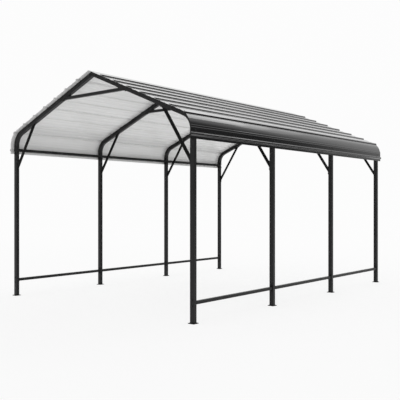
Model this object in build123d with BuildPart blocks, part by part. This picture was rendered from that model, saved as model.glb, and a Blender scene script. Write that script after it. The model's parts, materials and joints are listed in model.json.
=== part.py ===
"""Open-sided carport: four bent-tube arches under a gabled roof of ribbed, lapped sheet.

X runs across the carport, Y from the front (minus) to the back (plus) and Z up from the ground.
The origin is on the ground at the centre of the plan. Lengths are in millimetres.
"""
import os
from math import cos, radians, sin, tan

from build123d import *

os.makedirs("parts", exist_ok=True)

# Arches
post_spacing = 2950
bay_length = 1400
bay_count = 3
peak_height = 2656
roof_pitch = 22.5

# Arch tube: width in the plane of the arch, depth along the carport, wall and broken outer corners
frame_width = 51
frame_depth = 41
frame_wall = 1.5
frame_corner = 0.8

# Square tube of the rails and ties, and flat tube of the knee braces
rail_tube = 33
rail_wall = 1.2
rail_corner = 0.8
brace_width = 30
brace_depth = 20
brace_wall = 1.2
brace_corner = 0.8

# Eave bends: radius of the tube's centre line and the straight length past each end of it
bend_radius = 175
bend_leg = 140

# Where rails, braces and ties sit
base_rail_height = 200
eave_rail_drop = 51
brace_foot_drop = 295
brace_reach = 360
tie_drop = 253

# Base plates
foot_side = 80
foot_thickness = 5
foot_corner = 6
foot_hole_diameter = 9
foot_hole_spacing = 62.5

# End plates of rails, braces and ties
end_plate_thickness = 4
rail_plate_length = 90
rail_plate_width = 40
brace_plate_length = 110
tie_plate_length = 140

# Roof sheet
front_overhang = 71
rear_overhang = 100
skirt_drop = 100
skirt_edge = 47
eave_lap_offset = 56
sheet_gauge = 0.8
sheet_seat_gap = 0.3
lap_gap = 0.2
lap_lip = 9

# Ribs, the low beads between them and the one bead of the eave sheet, placed from the skirt's lower edge
rib_spacing = 220
rib_height = 14
rib_base = 36
rib_top = 16
bead_count = 2
bead_height = 2
bead_base = 26
bead_top = 14
eave_bead_edge = 125

# Plan
half_span = post_spacing / 2
half_width = frame_width / 2
roof_length = bay_length * bay_count + front_overhang + rear_overhang
first_arch = front_overhang - roof_length / 2
arch_stations = [first_arch + bay_length * i for i in range(bay_count + 1)]
bay_centres = [first_arch + bay_length * (i + 1 / 2) for i in range(bay_count)]

# Knee braces sit at the front edge of each arch tube, and at the back edge of the rear one
brace_shift = (frame_depth - brace_depth) / 2 - frame_corner
brace_stations = [y - brace_shift for y in arch_stations[:-1]] + [arch_stations[-1] + brace_shift]

# Arch outline in the XZ plane, right-hand side
slope = radians(roof_pitch)
outward = Vector(sin(slope), cos(slope))
downhill = Vector(cos(slope), -sin(slope))
tube_outer_radius = bend_radius + half_width
bend_x = half_span - bend_radius
spring_height = peak_height - (tube_outer_radius + bend_x * sin(slope)) / cos(slope)
bend_centre = Vector(bend_x, spring_height)
joint_height = spring_height - bend_leg
slope_bend_end = bend_centre + outward * bend_radius

# Underside of the roof sheet, measured along the sheet from the ridge
sheet_radius = tube_outer_radius + sheet_seat_gap
sheet_peak = peak_height + sheet_seat_gap / cos(slope)
slope_run = (bend_centre + outward * sheet_radius - Vector(0, sheet_peak)).length
bend_run = sheet_radius * radians(90 - roof_pitch)
bend_ends = (slope_run, slope_run + bend_run)
skirt_run = slope_run + bend_run + skirt_drop

# Ribs are spaced evenly from the ridge to the eave lap, which sits where the bend begins
eave_lap_run = slope_run + eave_lap_offset
slope_ribs = round(eave_lap_run / rib_spacing)
rib_runs = [eave_lap_run * i / slope_ribs for i in range(slope_ribs + 1)]
middle_rib = (1 + slope_ribs) // 2
skirt_rib_run = skirt_run - skirt_edge

# Rib flanks, and how far a rib that laps over another is raised and widened
flank_run = (rib_base - rib_top) / 2
flank_length = (flank_run**2 + rib_height**2) ** (1 / 2)
lap_rise = sheet_gauge + lap_gap
lap_foot = rib_base / 2 + lap_rise * flank_length / rib_height
lap_spread = lap_rise * (flank_length - flank_run) / rib_height


def save(node, name):
    """Label a finished node and write its file."""
    node.part.label = name
    export_step(node.part, f"parts/{name}.step")


def tube_section(plane, depth, width, wall, corner):
    """Hollow section with broken outer corners, its depth along the plane's own X direction."""
    with BuildSketch(plane) as section:
        Rectangle(depth, width)
        chamfer(section.vertices(), corner)
        Rectangle(depth - 2 * wall, width - 2 * wall, mode=Mode.SUBTRACT)
    return section.sketch


def frame_section(plane):
    """Section of the tube that the posts, eave bends and rafters are made of."""
    return tube_section(plane, frame_depth, frame_width, frame_wall, frame_corner)


def rail_section(plane):
    """Section of the tube that the rails and collar ties are made of."""
    return tube_section(plane, rail_tube, rail_tube, rail_wall, rail_corner)


def arch_plane(point, direction):
    """Plane across the arch outline at a point, facing along a direction in that outline."""
    return Plane(
        origin=(point.X, 0, point.Y),
        x_dir=(0, 1, 0),
        z_dir=(direction.X, 0, direction.Y),
    )


def roof_point(run, rise):
    """Point a given run down the roof from the ridge and a given rise out from the underside."""
    if run <= slope_run:
        foot = Vector(0, sheet_peak) + downhill * run
        return foot + outward * rise
    if run <= slope_run + bend_run:
        angle = radians(90 - roof_pitch) - (run - slope_run) / sheet_radius
        return bend_centre + Vector(cos(angle), sin(angle)) * (sheet_radius + rise)
    drop = run - slope_run - bend_run
    return bend_centre + Vector(sheet_radius + rise, -drop)


def rib(run, base, top, height):
    """Stations of a rib's underside, as run and rise, from its uphill foot to its downhill foot."""
    return [(run - base / 2, 0), (run - top / 2, height), (run + top / 2, height), (run + base / 2, 0)]


def lap(run):
    """Stations of a rib that lies over the next sheet's rib and ends in a lip."""
    low = run + rib_base / 2 + lap_spread
    return [
        (run - lap_foot, 0),
        (run - rib_top / 2 - lap_spread, rib_height + lap_rise),
        (run + rib_top / 2 + lap_spread, rib_height + lap_rise),
        (low, lap_rise),
        (low + lap_lip, lap_rise),
    ]


def ribs_and_beads(runs):
    """Stations of a full rib at each run but the last, each with the beads that follow it."""
    stations = []
    for uphill, downhill_run in zip(runs, runs[1:]):
        stations += rib(uphill, rib_base, rib_top, rib_height)
        step = (downhill_run - uphill) / (bead_count + 1)
        for i in range(bead_count):
            stations += rib(uphill + step * (i + 1), bead_base, bead_top, bead_height)
    return stations


def on_bend(start, end):
    """Whether the sheet lies flat against the bend between two stations."""
    return start[1] == end[1] == 0 and bend_ends[0] <= start[0] and end[0] <= bend_ends[1]


def with_bend_ends(stations):
    """Stations with the ends of the bend added where the sheet passes them flat."""
    full = stations[:1]
    for start, end in zip(stations, stations[1:]):
        if start[1] == end[1] == 0:
            full += [(run, 0) for run in bend_ends if start[0] < run < end[0]]
        full.append(end)
    return full


def sheet_face(points, arcs=()):
    """Cross-section of a sheet whose underside runs through the points, round the bend at the arcs."""
    headings = [[(b - a).normalized()] * 2 for a, b in zip(points, points[1:])]
    middles = {}
    for i in arcs:
        spokes = [(point - bend_centre).normalized() for point in points[i : i + 2]]
        headings[i] = [Vector(spoke.Y, -spoke.X) for spoke in spokes]
        middles[i] = (spokes[0] + spokes[1]).normalized()
    top = []
    for i, point in enumerate(points):
        before = headings[max(i - 1, 0)][1]
        after = headings[min(i, len(headings) - 1)][0]
        corner = Vector(-before.Y - after.Y, before.X + after.X)
        top.append(point + corner * (sheet_gauge / (1 + before.dot(after))))
    with BuildSketch(Plane.XZ) as section:
        with BuildLine():
            for side, rise in ((points, 0), (top, sheet_gauge)):
                for i, (a, b) in enumerate(zip(side, side[1:])):
                    if i in middles:
                        ThreePointArc(a, bend_centre + middles[i] * (sheet_radius + rise), b)
                    else:
                        Line(a, b)
            Line(points[0], top[0])
            Line(points[-1], top[-1])
        make_face()
    return section.sketch


def side_sheet(stations):
    """Sheet on the right-hand side of the roof, as long as the roof."""
    full = with_bend_ends(stations)
    arcs = [i for i, (start, end) in enumerate(zip(full, full[1:])) if on_bend(start, end)]
    with BuildPart() as sheet:
        section = sheet_face([roof_point(*station) for station in full], arcs)
        extrude(section, amount=roof_length / 2, both=True)
    return sheet.part


def place_on_side(piece, name, stations, left):
    """Write a node that holds a right-hand piece at each station, mirrored for the left side."""
    with BuildPart() as node:
        with Locations(*[(0, y, 0) for y in stations]):
            add(piece)
        if left:
            mirror(about=Plane.YZ, mode=Mode.REPLACE)
    save(node, name)


# Right-hand frame pieces, drawn at Y = 0
with BuildPart() as post:
    post_foot = arch_plane(Vector(half_span, foot_thickness), Vector(0, 1))
    extrude(frame_section(post_foot), amount=joint_height - foot_thickness)

with BuildPart() as eave_bend:
    with BuildLine(Plane.XZ) as bend_path:
        Line((half_span, joint_height), (half_span, spring_height))
        CenterArc(tuple(bend_centre), bend_radius, 0, 90 - roof_pitch)
        Line(tuple(slope_bend_end), tuple(slope_bend_end - downhill * bend_leg))
    bend_start = arch_plane(Vector(half_span, joint_height), Vector(0, 1))
    sweep(frame_section(bend_start), path=bend_path.wire())

with BuildPart() as rafter:
    rafter_foot = slope_bend_end - downhill * bend_leg
    extrude(
        frame_section(arch_plane(rafter_foot, -downhill)),
        amount=rafter_foot.X / cos(slope) + frame_width,
    )
    split(bisect_by=Plane.YZ, keep=Keep.TOP)

# Seats of braces and ties: post inner face and rafter underside
inner_face = half_span - half_width
underside_peak = peak_height - frame_width / cos(slope)
brace_foot = Vector(inner_face, spring_height - brace_foot_drop)
brace_head_x = inner_face - brace_reach
brace_head = Vector(brace_head_x, underside_peak - brace_head_x * tan(slope))
tie_height = peak_height - tie_drop
tie_head = Vector((underside_peak - tie_height) / tan(slope), tie_height)
post_seat = arch_plane(brace_foot - Vector(end_plate_thickness, 0), Vector(-1, 0))
rafter_seat = arch_plane(brace_head - outward * end_plate_thickness, -outward)

with BuildPart() as knee_brace:
    brace_axis = brace_head - brace_foot
    brace_middle = arch_plane((brace_foot + brace_head) / 2, brace_axis)
    extrude(
        tube_section(brace_middle, brace_depth, brace_width, brace_wall, brace_corner),
        amount=brace_axis.length,
        both=True,
    )
    split(bisect_by=post_seat, keep=Keep.TOP)
    split(bisect_by=rafter_seat, keep=Keep.TOP)

with BuildPart() as collar_tie:
    tie_middle = arch_plane(Vector(0, tie_height), Vector(1, 0))
    extrude(rail_section(tie_middle), amount=half_span, both=True)
    split(bisect_by=rafter_seat, keep=Keep.TOP)
    mirror(about=Plane.YZ, mode=Mode.INTERSECT)

with BuildPart() as brace_plates:
    for seat, facing in ((brace_foot, Vector(-1, 0)), (brace_head, -outward)):
        with BuildSketch(arch_plane(seat, facing)):
            Rectangle(brace_depth, brace_plate_length)
        extrude(amount=end_plate_thickness)

with BuildPart() as tie_plate:
    with BuildSketch(arch_plane(tie_head, -outward)):
        Rectangle(rail_tube, tie_plate_length)
    extrude(amount=end_plate_thickness)

# Right-hand side pieces
with BuildPart() as base_plate:
    with BuildSketch() as foot_outline:
        with Locations((half_span, 0)):
            Rectangle(foot_side, foot_side)
        chamfer(foot_outline.vertices(), foot_corner)
        with Locations((half_span, 0)):
            with GridLocations(foot_hole_spacing, foot_hole_spacing, 2, 2):
                Circle(foot_hole_diameter / 2, mode=Mode.SUBTRACT)
    extrude(amount=foot_thickness)

rail_length = bay_length - frame_depth - 2 * end_plate_thickness
rail_heights = {"base": base_rail_height, "eave": spring_height - eave_rail_drop}
rails = {}
for level, height in rail_heights.items():
    with BuildPart() as rail:
        rail_plane = Plane(origin=(half_span, 0, height), x_dir=(1, 0, 0), z_dir=(0, 1, 0))
        extrude(rail_section(rail_plane), amount=rail_length / 2, both=True)
    rails[level] = rail.part

with BuildPart() as rail_plates:
    for height in rail_heights.values():
        for end in (-1, 1):
            plate_y = end * (rail_length + end_plate_thickness) / 2
            with Locations((half_span, plate_y, height)):
                Box(rail_plate_width, end_plate_thickness, rail_plate_length)

# Roof sheets
right_half = [roof_point(*station) for station in [(0, 0)] + lap(rib_runs[1])]
left_half = [Vector(-point.X, point.Y) for point in reversed(right_half[1:])]
with BuildPart() as ridge_sheet:
    extrude(sheet_face(left_half + right_half), amount=roof_length / 2, both=True)
save(ridge_sheet, "ridge_sheet")

upper_runs = rib_runs[1 : middle_rib + 1]
lower_runs = rib_runs[middle_rib:]
eave = rib(eave_lap_run, rib_base, rib_top, rib_height)
eave += rib(skirt_run - eave_bead_edge, bead_base, bead_top, bead_height)
eave += rib(skirt_rib_run, rib_base, rib_top, rib_height) + [(skirt_run, 0)]
sheets = {
    "upper": side_sheet(ribs_and_beads(upper_runs) + lap(upper_runs[-1])),
    "lower": side_sheet(ribs_and_beads(lower_runs) + lap(lower_runs[-1])),
    "eave": side_sheet(eave),
}

# Nodes
middle_names = ("second", "third", "fourth", "fifth", "sixth")
arch_names = ("front",) + middle_names[: bay_count - 1] + ("rear",)
for arch_name, station in zip(arch_names, arch_stations):
    for left, side_name in ((True, "left"), (False, "right")):
        for piece_name, piece in (("post", post), ("eave_bend", eave_bend), ("rafter", rafter)):
            place_on_side(piece.part, f"{arch_name}_{side_name}_{piece_name}", [station], left)
    place_on_side(collar_tie.part, f"{arch_name}_collar_tie", [station], False)

for left, side_name in ((True, "left"), (False, "right")):
    place_on_side(knee_brace.part, f"{side_name}_knee_braces", brace_stations, left)
    place_on_side(base_plate.part, f"{side_name}_base_plates", arch_stations, left)
    for level, rail_part in rails.items():
        place_on_side(rail_part, f"{side_name}_{level}_rails", bay_centres, left)
    for level, sheet_part in sheets.items():
        place_on_side(sheet_part, f"{side_name}_{level}_sheet", [0], left)

end_plates = {
    "brace_end_plates": ((brace_plates, brace_stations), (tie_plate, arch_stations)),
    "rail_end_plates": ((rail_plates, bay_centres),),
}
for name, groups in end_plates.items():
    with BuildPart() as both_sides:
        for plates, stations in groups:
            with Locations(*[(0, y, 0) for y in stations]):
                add(plates.part)
        mirror(about=Plane.YZ)
    save(both_sides, name)
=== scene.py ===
import json
import math

import bpy
from mathutils import Matrix, Vector


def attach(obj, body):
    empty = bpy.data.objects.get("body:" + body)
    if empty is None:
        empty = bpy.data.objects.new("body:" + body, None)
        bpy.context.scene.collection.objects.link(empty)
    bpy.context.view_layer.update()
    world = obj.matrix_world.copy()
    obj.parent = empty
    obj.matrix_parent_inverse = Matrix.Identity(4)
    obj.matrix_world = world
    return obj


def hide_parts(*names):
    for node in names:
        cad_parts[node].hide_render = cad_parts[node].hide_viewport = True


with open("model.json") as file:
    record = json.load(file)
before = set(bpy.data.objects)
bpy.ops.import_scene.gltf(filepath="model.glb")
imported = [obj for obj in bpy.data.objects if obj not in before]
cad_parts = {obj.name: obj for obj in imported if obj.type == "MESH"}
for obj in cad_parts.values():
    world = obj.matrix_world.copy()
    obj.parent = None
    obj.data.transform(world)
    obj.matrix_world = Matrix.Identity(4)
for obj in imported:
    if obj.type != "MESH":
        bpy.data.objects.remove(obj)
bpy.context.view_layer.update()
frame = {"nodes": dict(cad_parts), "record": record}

# Arches, in metres like all lengths here, with the sizes that the solids have
POST_SPACING = 2.950
BAY_LENGTH = 1.400
BAY_COUNT = 3
PEAK = 2.656
PITCH = math.radians(22.5)
TUBE_WIDTH = 0.051
TUBE_DEPTH = 0.041
TUBE_CORNER = 0.0008
BEND_RADIUS = 0.175
BEND_LEG = 0.140

# Rails, braces, ties and the plates at their ends
RAIL_TUBE = 0.033
BRACE_WIDTH = 0.030
BRACE_DEPTH = 0.020
BASE_RAIL_HEIGHT = 0.200
EAVE_RAIL_DROP = 0.051
BRACE_FOOT_DROP = 0.295
BRACE_REACH = 0.360
TIE_DROP = 0.253
FOOT_THICKNESS = 0.005
END_PLATE = 0.004
BRACE_PLATE_LENGTH = 0.110
TIE_PLATE_LENGTH = 0.140

# Roof sheet, its ribs and the low beads between them
FRONT_OVERHANG = 0.071
REAR_OVERHANG = 0.100
SKIRT_DROP = 0.100
SKIRT_EDGE = 0.047
EAVE_BEAD_EDGE = 0.125
EAVE_LAP_OFFSET = 0.056
GAUGE = 0.0008
SEAT_GAP = 0.0003
LAP_GAP = 0.0002
LAP_LIP = 0.009
RIB_SPACING = 0.220
RIB_BASE = 0.036
RIB_TOP = 0.016
RIB_HEIGHT = 0.014
BEAD_COUNT = 2
BEAD_BASE = 0.026
BEAD_TOP = 0.014
BEAD_HEIGHT = 0.002

# Folds of the sheet, and how finely the meshes follow their curves
FOLD_RADIUS = 0.006
FOLD_REACH_SHARE = 0.45
FOLD_STEPS = 4
BEND_STEP = 0.006
SHEET_STEPS = 10
TURN_STEPS = 24
BOLT_END_STEPS = 16
SMOOTH_ANGLE = math.radians(40)

# Bolts and nuts on washers, and how far they sit from the joints of the tubes and the axes of the rails
EDGE_BREAK = 0.0004
WASHER_RADIUS = 0.0085
WASHER_HEIGHT = 0.0016
BOLT_FLATS = 0.013
BOLT_HEAD_HEIGHT = 0.0052
BOLT_CHAMFER = 0.0007
CHAMFER_SPREAD_SHARE = 1.6
NUT_HEIGHT = 0.0064
BOLT_RADIUS = 0.0040
BOLT_TIP_RADIUS = 0.0033
BOLT_TIP_HEIGHT = 0.0008
BOLT_END_HEIGHT = 0.0034
TUBE_BOLT_OFFSET = 0.035
RAIL_BOLT_OFFSET = 0.031

# Roof screws: sealing washer, flange and head, each sunk into the one below, and their inset from a rib
SEAL_RADIUS = 0.0058
SEAL_HEIGHT = 0.0014
SCREW_SINK = 0.0001
FLANGE_RADIUS = 0.0056
FLANGE_RIM_RADIUS = 0.0053
FLANGE_RIM_HEIGHT = 0.0006
FLANGE_TOP_RADIUS = 0.0040
FLANGE_HEIGHT = 0.0011
SCREW_FLATS = 0.0063
SCREW_HEAD_HEIGHT = 0.0027
SCREW_CHAMFER = 0.0005
SCREW_INSET = 0.040

# Weld beads: legs of the fillet, steps along, round a corner and over the bead, and two ripples along it
WELD_LEG = 0.0035
FOOT_WELD_LEG = 0.005
WELD_STEP = 0.0018
WELD_LEAST_STEPS = 8
WELD_CORNER_STEPS = 4
WELD_ARC_STEPS = 4
WELD_RIPPLE_SHARES = (0.10, 0.05)
WELD_RIPPLE_TURNS = (2.1, 0.37)

# Paint: noise that drifts slowly over a piece, the fine grain of its relief, and the clear coat
DRIFT_SCALE = 6.0
DRIFT_DETAIL = 4.0
GRAIN_SCALE = 420.0
GRAIN_DETAIL = 2.0
COLOUR_NOISE = (0.35, 0.65)
ROUGHNESS_NOISE = (0.3, 0.7)
CLEAR_COAT_ROUGHNESS = 0.04
EVEN = (1, 1, 1)
ALONG_SHEET = (14, 0.5, 14)

# Grey levels of the studio: the backdrop, the light of its dome, and its walls where they show in gloss
WHITE = 0.977
DOME = 0.95
DOME_RIGHT = 0.45
WALL_FRONT = 0.60
WALL_MIDDLE = 0.76
WALL_RIGHT = 0.10

# Where the walls give way to each other, by the X or Y part of a direction
LEFT_HAND_FADE = (0.30, 0.56)
FAR_LEFT_FADE = (-0.06, 0.12)
BEHIND_FADE = (0.30, -0.10)

# Soft boxes behind and above the roof, with angles in degrees: elevation from and to, and level
SOFT_BOXES = ((28, 32, 0.1), (32, 36, 0.4), (36, 39, 1.0), (39, 58, 1.8))
LAMP_LEFT = -45.0
LAMP_RIGHT = 23.0
LAMP_REACH = 24.0
LAMP_AIM = Vector((0, 0, 2.0))

# Floor: half its side, its paint, and how it whitens from near the carport to far from it
FLOOR_SPAN = 60.0
FLOOR_GREY = 0.94
FLOOR_ROUGHNESS = 0.9
FLOOR_NEAR = 3.0
FLOOR_FAR = 16.0
FLOOR_NEAR_WHITE = 0.85
FLOOR_FAR_WHITE = 1.0

# Camera at the photograph's viewing angle, with its focal length and shift in pixels of the image
IMAGE_PIXELS = 400
FOCAL_PIXELS = 629.16
SHIFT_PIXELS = 3.174
CAMERA_PLACE = (5.444, -6.7934, 1.1736)
CAMERA_YAW = math.radians(39.693)
SENSOR_MILLIMETRES = 36.0
VIEW_DEPTH = 200

# Plan
SIDES = (("left", -1), ("right", 1))
RIGHT = Vector((1, 0, 0))
BACK = Vector((0, 1, 0))
UP = Vector((0, 0, 1))
POST_X = POST_SPACING / 2
ROOF_BACK = (BAY_LENGTH * BAY_COUNT + FRONT_OVERHANG + REAR_OVERHANG) / 2
ROOF_FRONT = -ROOF_BACK
ARCHES = [ROOF_FRONT + FRONT_OVERHANG + BAY_LENGTH * i for i in range(BAY_COUNT + 1)]

# Knee braces sit at the front edge of each arch tube, and at the back edge of the rear one
BRACE_SHIFT = (TUBE_DEPTH - BRACE_DEPTH) / 2 - TUBE_CORNER
BRACE_STATIONS = [y - BRACE_SHIFT for y in ARCHES[:-1]] + [ARCHES[-1] + BRACE_SHIFT]

# Outline of an arch, right-hand side
OUTWARD = Vector((math.sin(PITCH), 0, math.cos(PITCH)))
DOWNHILL = Vector((math.cos(PITCH), 0, -math.sin(PITCH)))
TUBE_RADIUS = BEND_RADIUS + TUBE_WIDTH / 2
BEND_X = POST_X - BEND_RADIUS
SPRING = PEAK - (TUBE_RADIUS + BEND_X * math.sin(PITCH)) / math.cos(PITCH)
BEND_CENTRE = Vector((BEND_X, 0, SPRING))
BEND_ANGLE = math.pi / 2 - PITCH

# Underside of the roof sheet, by its run along the sheet from the ridge
SHEET_RADIUS = TUBE_RADIUS + SEAT_GAP
SHEET_PEAK = PEAK + SEAT_GAP / math.cos(PITCH)
SLOPE_RUN = (BEND_CENTRE + OUTWARD * SHEET_RADIUS - UP * SHEET_PEAK).length
BEND_RUN = SHEET_RADIUS * BEND_ANGLE
SKIRT_RUN = SLOPE_RUN + BEND_RUN + SKIRT_DROP
SKIRT_RIB_RUN = SKIRT_RUN - SKIRT_EDGE
EAVE_LAP_RUN = SLOPE_RUN + EAVE_LAP_OFFSET
SLOPE_RIBS = round(EAVE_LAP_RUN / RIB_SPACING)
RIB_RUNS = [EAVE_LAP_RUN * i / SLOPE_RIBS for i in range(SLOPE_RIBS + 1)]
MIDDLE_RIB = (1 + SLOPE_RIBS) // 2

# Rib flanks, and how far a rib that laps over another is raised and widened
FLANK_RUN = (RIB_BASE - RIB_TOP) / 2
FLANK_LENGTH = math.hypot(FLANK_RUN, RIB_HEIGHT)
LAP_RISE = GAUGE + LAP_GAP
LAP_FOOT = RIB_BASE / 2 + LAP_RISE * FLANK_LENGTH / RIB_HEIGHT
LAP_SPREAD = LAP_RISE * (FLANK_LENGTH - FLANK_RUN) / RIB_HEIGHT

# Seats of braces and ties on the arch, and joints between its tubes
UNDER_PEAK = PEAK - TUBE_WIDTH / math.cos(PITCH)
BRACE_FOOT = Vector((POST_X - TUBE_WIDTH / 2, 0, SPRING - BRACE_FOOT_DROP))
BRACE_HEAD_X = BRACE_FOOT.x - BRACE_REACH
BRACE_HEAD = Vector((BRACE_HEAD_X, 0, UNDER_PEAK - BRACE_HEAD_X * math.tan(PITCH)))
BRACE_AXIS = (BRACE_HEAD - BRACE_FOOT).normalized()
TIE_HEAD = Vector(((TIE_DROP - (PEAK - UNDER_PEAK)) / math.tan(PITCH), 0, PEAK - TIE_DROP))
POST_TOP = Vector((POST_X, 0, SPRING - BEND_LEG))
RAFTER_FOOT = BEND_CENTRE + OUTWARD * BEND_RADIUS - DOWNHILL * BEND_LEG
RAFTER_HEAD = UP * PEAK - OUTWARD * TUBE_WIDTH / 2
TUBE_BOLTS = (
    POST_TOP + UP * TUBE_BOLT_OFFSET,
    POST_TOP - UP * TUBE_BOLT_OFFSET,
    RAFTER_FOOT + DOWNHILL * TUBE_BOLT_OFFSET,
    RAFTER_FOOT - DOWNHILL * TUBE_BOLT_OFFSET,
    RAFTER_HEAD + DOWNHILL * 2 * TUBE_BOLT_OFFSET,
)
RAIL_HEIGHTS = (BASE_RAIL_HEIGHT, SPRING - EAVE_RAIL_DROP)


# Node trees
class Tree:
    """Node tree of a material or a world, with a short call that adds a node."""

    def __init__(self, owner):
        owner.use_nodes = True
        self.nodes = owner.node_tree.nodes
        self.links = owner.node_tree.links

    def fill(self, node, inputs):
        """Link each input to an output, or set it to a plain value."""
        for name, value in inputs.items():
            if isinstance(value, bpy.types.NodeSocket):
                self.links.new(value, node.inputs[name])
            else:
                node.inputs[name].default_value = value

    def add(self, kind, output, inputs=None, **settings):
        """The named output of a new node with these inputs and settings."""
        node = self.nodes.new(kind)
        for name, value in settings.items():
            setattr(node, name, value)
        self.fill(node, inputs or {})
        return node.outputs[output]


def grey(level):
    """Opaque grey of a level."""
    return (level, level, level, 1)


def noise(tree, scale, detail, stretch=EVEN):
    """Noise over the piece, stretched along its axes."""
    place = tree.add("ShaderNodeTexCoord", "Object")
    stretched = tree.add("ShaderNodeMapping", "Vector", {"Vector": place, "Scale": stretch})
    return tree.add("ShaderNodeTexNoise", "Fac", {"Vector": stretched, "Scale": scale, "Detail": detail})


def between_colours(tree, value, dark, light):
    """Colour that runs from the dark one to the light one with the noise."""
    node = tree.nodes.new("ShaderNodeValToRGB")
    for element, position, colour in zip(node.color_ramp.elements, COLOUR_NOISE, (dark, light)):
        element.position = position
        element.color = (*colour, 1)
    tree.fill(node, {"Fac": value})
    return node.outputs["Color"]


def between_levels(tree, value, start, end, first, last, **settings):
    """Number that runs from the first level to the last while the value goes from start to end."""
    inputs = {"Value": value, "From Min": start, "From Max": end, "To Min": first, "To Max": last}
    return tree.add("ShaderNodeMapRange", "Result", inputs, **settings)


# Finishes
def coat(
    name,
    dark,
    light,
    rough,
    relief,
    stretch=EVEN,
    drift_scale=DRIFT_SCALE,
    specular=0.5,
    metallic=0.0,
    clear_coat=0.0,
):
    """Painted metal: colour and roughness that drift, fine orange peel and, if asked for, a clear coat."""
    material = bpy.data.materials.new(name)
    tree = Tree(material)
    drift = noise(tree, drift_scale, DRIFT_DETAIL, stretch)
    grain = noise(tree, GRAIN_SCALE, GRAIN_DETAIL)
    peel = {"Height": grain, "Distance": relief, "Strength": 1.0}
    shader = tree.nodes["Principled BSDF"]
    tree.fill(shader, {
        "Base Color": between_colours(tree, drift, dark, light),
        "Roughness": between_levels(tree, drift, *ROUGHNESS_NOISE, *rough),
        "Normal": tree.add("ShaderNodeBump", "Normal", peel),
        "Specular IOR Level": specular,
        "Metallic": metallic,
        "Coat Weight": clear_coat,
        "Coat Roughness": CLEAR_COAT_ROUGHNESS,
    })
    return material


# Satin coat of the tubes, end plates and welds
frame_coat = coat(
    "frame_coat",
    dark=(0.006, 0.0062, 0.0065),
    light=(0.009, 0.0092, 0.0097),
    rough=(0.34, 0.42),
    relief=0.000012,
    specular=0.27,
)

# Darker, duller copy of the frame coat, on the knee braces
brace_coat = coat(
    "brace_coat",
    dark=(0.003, 0.0031, 0.0033),
    light=(0.005, 0.0051, 0.0053),
    rough=(0.40, 0.48),
    relief=0.000012,
    specular=0.08,
)

# Matt coat of the base plates, darker than the frame coat: its darker colour is painted shade, the contact
# shadow round the feet
painted_shade_foot_coat = coat(
    "painted_shade_foot_coat",
    dark=(0.003, 0.0031, 0.0033),
    light=(0.006, 0.0061, 0.0063),
    rough=(0.62, 0.72),
    relief=0.00003,
    specular=0.06,
)

# Glossy dark outside of the roof sheet, with faint streaks along it, and its screws
sheet_outer = coat(
    "sheet_outer",
    dark=(0.005, 0.0052, 0.0055),
    light=(0.008, 0.0082, 0.0086),
    rough=(0.07, 0.10),
    relief=0.000002,
    stretch=ALONG_SHEET,
    clear_coat=0.5,
)

# Pale inside of the roof sheet
sheet_inner = coat(
    "sheet_inner",
    dark=(0.83, 0.83, 0.825),
    light=(0.87, 0.87, 0.865),
    rough=(0.20, 0.28),
    relief=0.000003,
    stretch=ALONG_SHEET,
    specular=0.8,
)

# Blackened steel of bolts, nuts and washers
bolt_finish = coat(
    "bolt_finish",
    dark=(0.016, 0.016, 0.017),
    light=(0.030, 0.030, 0.031),
    rough=(0.30, 0.42),
    relief=0.00001,
    drift_scale=60.0,
    metallic=0.6,
)

# Rubber under the heads of the roof screws
seal_rubber = coat(
    "seal_rubber",
    dark=(0.010, 0.010, 0.010),
    light=(0.018, 0.018, 0.018),
    rough=(0.70, 0.82),
    relief=0.00002,
    drift_scale=90.0,
)


# Finishes of the solids that show: all but the roof sheets, which get skins of their own
# The base plates take the coat with painted contact shade, and the knee braces the darker, duller copy of
# the frame coat
darker_coat_families = {"base_plates": painted_shade_foot_coat, "knee_braces": brace_coat}
for item in frame["record"]["subparts"]:
    if item["material_slot"] == "frame_coat":
        family = item["node"].split("_", 1)[1]
        slots = frame["nodes"][item["node"]].data.materials
        slots.clear()
        slots.append(darker_coat_families.get(family, frame_coat))


# Meshes
class Mesh:
    """Points and faces gathered for one piece, with each face's place in its list of materials."""

    def __init__(self):
        self.points = []
        self.faces = []
        self.kinds = []

    def add(self, points, faces, matrix=Matrix(), kind=0):
        """Take in a shape where the matrix puts it."""
        first = len(self.points)
        self.points += [matrix @ Vector(point) for point in points]
        self.faces += [tuple(first + i for i in face) for face in faces]
        self.kinds += [kind] * len(faces)

    def piece(self, name, materials):
        """Object made of all that was gathered, which rides on the carport's one body."""
        data = bpy.data.meshes.new(name)
        data.from_pydata(self.points, [], self.faces)
        for material in materials:
            data.materials.append(material)
        data.polygons.foreach_set("material_index", self.kinds)
        data.update()
        data.shade_smooth()
        data.set_sharp_from_angle(angle=SMOOTH_ANGLE)
        made = bpy.data.objects.new(name, data)
        bpy.context.scene.collection.objects.link(made)
        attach(made, "root")
        return made


def seat(origin, normal, up, side):
    """Matrix with Z along the normal and Y along up, at the origin or at its mirror image on the left."""
    across = up.cross(normal)
    matrix = Matrix((
        (across.x, up.x, normal.x, origin[0]),
        (across.y, up.y, normal.y, origin[1]),
        (across.z, up.z, normal.z, origin[2]),
        (0, 0, 0, 1),
    ))
    if side > 0:
        return matrix
    flip = Matrix.Diagonal((-1, 1, 1, 1))
    return flip @ matrix @ flip


# Roof sheets: folded lines of run along the roof and rise over it
def roof_frame(run):
    """Point on the plain underside of the sheet at a run, and the way out from it."""
    if run <= SLOPE_RUN:
        return UP * SHEET_PEAK + DOWNHILL * run, OUTWARD
    angle = max(BEND_ANGLE - (run - SLOPE_RUN) / SHEET_RADIUS, 0)
    out = Vector((math.cos(angle), 0, math.sin(angle)))
    drop = max(run - SLOPE_RUN - BEND_RUN, 0)
    return BEND_CENTRE + out * SHEET_RADIUS - UP * drop, out


def fold(run, base, top, height):
    """Corners of a raised fold whose middle is at a run."""
    return [(run - base / 2, 0), (run - top / 2, height), (run + top / 2, height), (run + base / 2, 0)]


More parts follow.
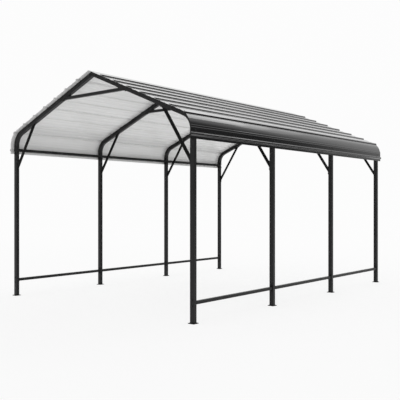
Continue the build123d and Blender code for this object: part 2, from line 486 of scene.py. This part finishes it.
def rib(run):
    """Corners of a rib."""
    return fold(run, RIB_BASE, RIB_TOP, RIB_HEIGHT)


def bead(run):
    """Corners of a low bead."""
    return fold(run, BEAD_BASE, BEAD_TOP, BEAD_HEIGHT)


def ribs_and_beads(runs):
    """A rib at each run but the last, with evenly spaced beads up to the next one."""
    line = []
    for start, end in zip(runs, runs[1:]):
        line += rib(start)
        for i in range(1, BEAD_COUNT + 1):
            line += bead(start + (end - start) * i / (BEAD_COUNT + 1))
    return line


def lap(run):
    """Corners of a rib that lies over the next sheet's rib, down to the lip past it."""
    top = RIB_TOP / 2 + LAP_SPREAD
    low = RIB_BASE / 2 + LAP_SPREAD
    return [
        (run - LAP_FOOT, 0),
        (run - top, RIB_HEIGHT + LAP_RISE),
        (run + top, RIB_HEIGHT + LAP_RISE),
        (run + low, LAP_RISE),
        (run + low + LAP_LIP, LAP_RISE),
    ]


def rounded(line):
    """The line with its corners rounded, as folds in sheet are."""
    made = [line[0]]
    for before, corner, after in zip(line, line[1:], line[2:]):
        back = before - corner
        ahead = after - corner
        half_turn = (math.pi - back.angle(ahead)) / 2
        longest = FOLD_REACH_SHARE * min(back.length, ahead.length)
        reach = min(FOLD_RADIUS * math.tan(half_turn), longest)
        start = corner + back.normalized() * reach
        end = corner + ahead.normalized() * reach
        for i in range(FOLD_STEPS + 1):
            share = i / FOLD_STEPS
            made.append(start.lerp(corner, share).lerp(corner.lerp(end, share), share))
    made.append(line[-1])
    return made


def divided(line):
    """The line with points added where it follows the eave bend."""
    made = [line[0]]
    for start, end in zip(line, line[1:]):
        bent = end.x > SLOPE_RUN and start.x < SLOPE_RUN + BEND_RUN
        count = max(1, math.ceil((end - start).length / BEND_STEP)) if bent else 1
        made += [start.lerp(end, (i + 1) / count) for i in range(count)]
    return made


def underside(corners):
    """Points of a sheet's underside on the right-hand slope, from its corners."""
    points = []
    for run, rise in divided(rounded([Vector(corner) for corner in corners])):
        point, out = roof_frame(run)
        points.append(point + out * rise)
    return points


def mirrored(line):
    """The same line on the left-hand slope, still running from left to right."""
    return [Vector((-point.x, point.y, point.z)) for point in reversed(line)]


def add_sheet(node, lower):
    """Skin of a sheet over its underside, as thick as its gauge, dark outside and pale inside."""
    count = len(lower)
    upper = []
    for i, point in enumerate(lower):
        way = lower[min(i + 1, count - 1)] - lower[max(i - 1, 0)]
        upper.append(point + Vector((-way.z, 0, way.x)).normalized() * GAUGE)
    points = []
    for j in range(SHEET_STEPS + 1):
        y = ROOF_FRONT + (ROOF_BACK - ROOF_FRONT) * j / SHEET_STEPS
        points += [(point.x, y, point.z) for point in upper + lower]
    row = 2 * count
    outside = []
    inside = []
    edges = []
    for j in range(SHEET_STEPS):
        a = j * row
        b = a + row
        for i in range(count - 1):
            outside.append((a + i, a + i + 1, b + i + 1, b + i))
            inside.append((b + count + i, b + count + i + 1, a + count + i + 1, a + count + i))
        edges.append((a, b, b + count, a + count))
        edges.append((b + count - 1, a + count - 1, a + row - 1, b + row - 1))
    back = SHEET_STEPS * row
    for i in range(count - 1):
        edges.append((i + 1, i, count + i, count + i + 1))
        edges.append((back + i, back + i + 1, back + count + i + 1, back + count + i))
    mesh = Mesh()
    mesh.add(points, outside + edges + inside)
    # The faces inside take the second material
    mesh.kinds[-len(inside):] = [1] * len(inside)
    made = mesh.piece(f"{node}_skin", [sheet_outer, sheet_inner])
    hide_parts(node)


eave_bead = bead(SKIRT_RUN - EAVE_BEAD_EDGE)
side_sheets = {
    "upper": ribs_and_beads(RIB_RUNS[1 : MIDDLE_RIB + 1]) + lap(RIB_RUNS[MIDDLE_RIB]),
    "lower": ribs_and_beads(RIB_RUNS[MIDDLE_RIB:]) + lap(EAVE_LAP_RUN),
    "eave": rib(EAVE_LAP_RUN) + eave_bead + rib(SKIRT_RIB_RUN) + [(SKIRT_RUN, 0)],
}
for level, corners in side_sheets.items():
    right_line = underside(corners)
    add_sheet(f"left_{level}_sheet", mirrored(right_line))
    add_sheet(f"right_{level}_sheet", right_line)
right_line = underside([(0, 0)] + lap(RIB_RUNS[1]))
add_sheet("ridge_sheet", mirrored(right_line[1:]) + right_line)


# Fasteners
def turned(outline, count=TURN_STEPS):
    """Surface of revolution about Z through points of radius and height, closed at the top."""
    points = []
    for radius, height in outline:
        for i in range(count):
            angle = math.tau * i / count
            points.append((radius * math.cos(angle), radius * math.sin(angle), height))
    faces = []
    for low in range(0, len(points) - count, count):
        high = low + count
        for i in range(count):
            j = (i + 1) % count
            faces.append((low + i, low + j, high + j, high + i))
    faces.append(tuple(range(len(points) - count, len(points))))
    return points, faces


def washer(radius, height):
    """Flat round washer with a broken top edge."""
    return turned([(radius, 0), (radius, height - EDGE_BREAK), (radius - EDGE_BREAK, height)])


def hexagon(flats, low, height, chamfer):
    """Hexagonal head or nut with a chamfered top."""
    radius = flats / math.sqrt(3)
    high = low + height
    outline = [(radius, low), (radius, high - chamfer), (radius - CHAMFER_SPREAD_SHARE * chamfer, high)]
    return turned(outline, 6)


def add_bolt(mesh, matrix):
    """Hex head on a washer."""
    mesh.add(*washer(WASHER_RADIUS, WASHER_HEIGHT), matrix)
    mesh.add(*hexagon(BOLT_FLATS, WASHER_HEIGHT, BOLT_HEAD_HEIGHT, BOLT_CHAMFER), matrix)


def add_nut(mesh, matrix):
    """Hex nut on a washer, with the end of its bolt."""
    mesh.add(*washer(WASHER_RADIUS, WASHER_HEIGHT), matrix)
    mesh.add(*hexagon(BOLT_FLATS, WASHER_HEIGHT, NUT_HEIGHT, BOLT_CHAMFER), matrix)
    low = WASHER_HEIGHT + NUT_HEIGHT
    high = low + BOLT_END_HEIGHT
    outline = [(BOLT_RADIUS, low), (BOLT_RADIUS, high - BOLT_TIP_HEIGHT), (BOLT_TIP_RADIUS, high)]
    mesh.add(*turned(outline, BOLT_END_STEPS), matrix)


def add_screw(mesh, matrix):
    """Self-drilling roof screw: sealing washer under a flanged hex head."""
    mesh.add(*washer(SEAL_RADIUS, SEAL_HEIGHT), matrix, kind=1)
    low = SEAL_HEIGHT - SCREW_SINK
    high = low + FLANGE_HEIGHT
    rim = low + FLANGE_RIM_HEIGHT
    outline = [(FLANGE_RADIUS, low), (FLANGE_RIM_RADIUS, rim), (FLANGE_TOP_RADIUS, high)]
    mesh.add(*turned(outline), matrix)
    mesh.add(*hexagon(SCREW_FLATS, high - SCREW_SINK, SCREW_HEAD_HEIGHT, SCREW_CHAMFER), matrix)


# Roof screws over every arch, on the flats uphill of the ribs
screw_runs = [run - SCREW_INSET for run in RIB_RUNS[1:] + [SKIRT_RIB_RUN]]
for side_name, side in SIDES:
    screws = Mesh()
    for y in ARCHES:
        for run in screw_runs:
            point, out = roof_frame(run)
            add_screw(screws, seat(point + out * GAUGE + BACK * y, out, BACK, side))
    made = screws.piece(f"{side_name}_roof_screws", [sheet_outer, seal_rubber])


# Bolts and welds of the arches
def add_weld(mesh, matrix, width, length, leg=WELD_LEG):
    """Rippled fillet bead round the end of a rectangular tube that stands on a plate."""
    corners = [Vector((x * width / 2, y * length / 2)) for x, y in ((1, -1), (1, 1), (-1, 1), (-1, -1))]
    ways = [Vector(way) for way in ((1, 0), (0, 1), (-1, 0), (0, -1))]
    path = []
    for k in range(4):
        start = corners[k]
        end = corners[(k + 1) % 4]
        out = ways[k]
        turn = ways[(k + 1) % 4]
        steps = max(WELD_LEAST_STEPS, int((end - start).length / WELD_STEP))
        path += [(start.lerp(end, i / steps), out) for i in range(steps)]
        for i in range(1, WELD_CORNER_STEPS):
            path.append((end, out.lerp(turn, i / WELD_CORNER_STEPS).normalized()))
    points = []
    for i, (point, out) in enumerate(path):
        ripples = zip(WELD_RIPPLE_SHARES, WELD_RIPPLE_TURNS)
        size = leg * (1 + sum(share * math.sin(turn * i) for share, turn in ripples))
        for k in range(WELD_ARC_STEPS + 1):
            angle = math.pi / 2 * (1 - k / WELD_ARC_STEPS)
            flat = point + out * size * math.cos(angle)
            points.append((flat.x, flat.y, size * math.sin(angle)))
    faces = []
    row = WELD_ARC_STEPS + 1
    for i in range(len(path)):
        a = i * row
        b = (i + 1) % len(path) * row
        for k in range(WELD_ARC_STEPS):
            faces.append((a + k, a + k + 1, b + k + 1, b + k))
    mesh.add(points, faces, matrix)


class Side:
    """Bolts and weld beads gathered for the arches' left or right half."""

    def __init__(self, side):
        self.side = side
        self.bolts = Mesh()
        self.welds = Mesh()

    def foot(self, y):
        """Weld round the foot of a post."""
        origin = Vector((POST_X, y, FOOT_THICKNESS))
        add_weld(self.welds, seat(origin, UP, BACK, self.side), TUBE_WIDTH, TUBE_DEPTH, FOOT_WELD_LEG)

    def end_plate(self, point, normal, up, axis, depth, width, length):
        """Weld of a slanted tube on its end plate, and the two bolts between it and the plate's ends."""
        face = point + normal * END_PLATE
        slant = axis.dot(normal)
        reach = width / abs(slant)
        shift = (point + axis * (END_PLATE / slant) - face).dot(up)
        add_weld(self.welds, seat(face + up * shift, normal, up, self.side), depth, reach)
        for end in (-1, 1):
            plate_edge = end * length / 2
            tube_edge = shift + end * reach / 2
            spot = face + up * ((plate_edge + tube_edge) / 2)
            add_bolt(self.bolts, seat(spot, normal, up, self.side))

    def braces(self, brace_y, tie_y):
        """Both ends of a knee brace, and one end of a tie."""
        brace = (BRACE_AXIS, BRACE_DEPTH, BRACE_WIDTH, BRACE_PLATE_LENGTH)
        tie = (RIGHT, RAIL_TUBE, RAIL_TUBE, TIE_PLATE_LENGTH)
        self.end_plate(BRACE_FOOT + BACK * brace_y, -RIGHT, UP, *brace)
        self.end_plate(BRACE_HEAD + BACK * brace_y, -OUTWARD, DOWNHILL, *brace)
        self.end_plate(TIE_HEAD + BACK * tie_y, -OUTWARD, DOWNHILL, *tie)

    def joints(self, y):
        """Bolts through the tubes of an arch beside their joints, with a nut behind each."""
        for point in TUBE_BOLTS:
            for way, add in ((-1, add_bolt), (1, add_nut)):
                spot = point + BACK * (y + way * TUBE_DEPTH / 2)
                add(self.bolts, seat(spot, BACK * way, UP, self.side))

    def rails(self, index):
        """Bolts and nuts through a post at its rails, and the welds of the rails that end there."""
        for z in RAIL_HEIGHTS:
            for way, add in ((-1, add_bolt), (1, add_nut)):
                railed = 0 <= index + way < len(ARCHES)
                out = TUBE_DEPTH / 2 + (END_PLATE if railed else 0)
                middle = Vector((POST_X, ARCHES[index] + way * out, z))
                for end in (-1, 1):
                    spot = middle + UP * end * RAIL_BOLT_OFFSET
                    add(self.bolts, seat(spot, BACK * way, UP, self.side))
                if railed:
                    add_weld(self.welds, seat(middle, BACK * way, UP, self.side), RAIL_TUBE, RAIL_TUBE)


for side_name, side in SIDES:
    half = Side(side)
    for index, y in enumerate(ARCHES):
        half.foot(y)
        half.braces(BRACE_STATIONS[index], y)
        half.joints(y)
        half.rails(index)
    half.bolts.piece(f"{side_name}_bolts", [bolt_finish])
    half.welds.piece(f"{side_name}_weld_beads", [frame_coat])


# Stage
def seen(tree):
    """One for camera, glossy and transmission rays, and zero for other light."""
    total = tree.add("ShaderNodeLightPath", "Is Camera Ray")
    for name in ("Is Glossy Ray", "Is Transmission Ray"):
        ray = tree.add("ShaderNodeLightPath", name)
        total = tree.add("ShaderNodeMath", "Value", {0: total, 1: ray}, operation="MAXIMUM")
    return total


def background(tree, level):
    """Plain grey light from all round."""
    return tree.add("ShaderNodeBackground", "Background", {"Color": grey(level)})


def mixed(tree, factor, first, second):
    """The first shader where the factor is zero, and the second where it is one."""
    return tree.add("ShaderNodeMixShader", "Shader", {0: factor, 1: first, 2: second})


def fade(tree, value, start, end, first=1.0, last=0.0):
    """Smooth step from the first level at the start to the last one at the end."""
    return between_levels(tree, value, start, end, first, last, interpolation_type="SMOOTHSTEP")


def make_world():
    """Backdrop that is white to the camera, grey walls that show in gloss, and a dome for other light."""
    world = bpy.data.worlds.new("studio")
    bpy.context.scene.world = world
    tree = Tree(world)
    tree.nodes.remove(tree.nodes["Background"])
    direction = {"Vector": tree.add("ShaderNodeTexCoord", "Generated")}
    across = tree.add("ShaderNodeSeparateXYZ", "X", direction)
    ahead = tree.add("ShaderNodeSeparateXYZ", "Y", direction)
    left_hand = fade(tree, across, *LEFT_HAND_FADE)
    far_left = fade(tree, across, *FAR_LEFT_FADE)
    behind = fade(tree, ahead, *BEHIND_FADE)
    back_wall = mixed(tree, far_left, background(tree, WALL_MIDDLE), background(tree, WHITE))
    left_walls = mixed(tree, behind, background(tree, WALL_FRONT), back_wall)
    walls = mixed(tree, left_hand, background(tree, WALL_RIGHT), left_walls)
    dome = mixed(tree, left_hand, background(tree, DOME_RIGHT), background(tree, DOME))
    lit = mixed(tree, seen(tree), dome, walls)
    camera_ray = tree.add("ShaderNodeLightPath", "Is Camera Ray")
    shown = mixed(tree, camera_ray, lit, background(tree, WHITE))
    tree.fill(tree.nodes["World Output"], {"Surface": shown})


def make_soft_box(name, low, high, level):
    """Lamp that covers a strip of the sky between two elevations."""
    middle = math.radians((low + high) / 2)
    bearing = math.radians((LAMP_LEFT + LAMP_RIGHT) / 2)
    half_width = LAMP_REACH * math.cos(middle) * math.tan(math.radians(LAMP_RIGHT - LAMP_LEFT) / 2)
    half_height = LAMP_REACH * math.tan(math.radians(high - low) / 2)
    lamp = bpy.data.lights.new(name, "AREA")
    lamp.shape = "RECTANGLE"
    lamp.size = 2 * half_width
    lamp.size_y = 2 * half_height
    lamp.energy = math.pi * lamp.size * lamp.size_y * level
    flat = math.cos(middle)
    way = Vector((math.sin(bearing) * flat, math.cos(bearing) * flat, math.sin(middle)))
    soft_box = bpy.data.objects.new(name, lamp)
    soft_box.location = LAMP_AIM + way * LAMP_REACH
    soft_box.rotation_euler = (-way).to_track_quat("-Z", "Y").to_euler()
    soft_box.visible_camera = False
    bpy.context.scene.collection.objects.link(soft_box)


def floor_paint():
    """Pale paint that takes the carport's shadow, whitened where it is seen so as to meet the backdrop."""
    material = bpy.data.materials.new("floor_paint")
    tree = Tree(material)
    paint = tree.nodes["Principled BSDF"]
    tree.fill(paint, {
        "Base Color": grey(FLOOR_GREY),
        "Roughness": FLOOR_ROUGHNESS,
        "Specular IOR Level": 0.0,
    })
    glow = tree.add("ShaderNodeEmission", "Emission", {"Color": grey(WHITE), "Strength": 1.0})
    place = tree.add("ShaderNodeTexCoord", "Object")
    distance = tree.add("ShaderNodeVectorMath", "Value", {0: place}, operation="LENGTH")
    whitened = fade(tree, distance, FLOOR_NEAR, FLOOR_FAR, FLOOR_NEAR_WHITE, FLOOR_FAR_WHITE)
    factor = tree.add("ShaderNodeMath", "Value", {0: seen(tree), 1: whitened}, operation="MULTIPLY")
    shown = mixed(tree, factor, paint.outputs["BSDF"], glow)
    tree.fill(tree.nodes["Material Output"], {"Surface": shown})
    return material


def make_floor():
    """Plain square floor."""
    corners = [(x * FLOOR_SPAN, y * FLOOR_SPAN, 0) for x, y in ((-1, -1), (1, -1), (1, 1), (-1, 1))]
    data = bpy.data.meshes.new("floor")
    data.from_pydata(corners, [], [(0, 1, 2, 3)])
    data.materials.append(floor_paint())
    floor = bpy.data.objects.new("floor", data)
    bpy.context.scene.collection.objects.link(floor)


def make_camera():
    """Level camera with the focal length and shift of the photograph."""
    view = bpy.data.cameras.new("camera")
    view.sensor_width = SENSOR_MILLIMETRES
    view.sensor_fit = "HORIZONTAL"
    view.lens = FOCAL_PIXELS / IMAGE_PIXELS * SENSOR_MILLIMETRES
    view.shift_y = SHIFT_PIXELS / IMAGE_PIXELS
    view.clip_end = VIEW_DEPTH
    camera = bpy.data.objects.new("camera", view)
    camera.location = CAMERA_PLACE
    camera.rotation_euler = (math.pi / 2, 0, CAMERA_YAW)
    bpy.context.scene.collection.objects.link(camera)
    bpy.context.scene.camera = camera


make_world()
for index, (low, high, level) in enumerate(SOFT_BOXES):
    make_soft_box(f"soft_box_{index}", low, high, level)
make_floor()
make_camera()
bpy.context.scene.view_settings.view_transform = "Standard"

bpy.context.view_layer.update()
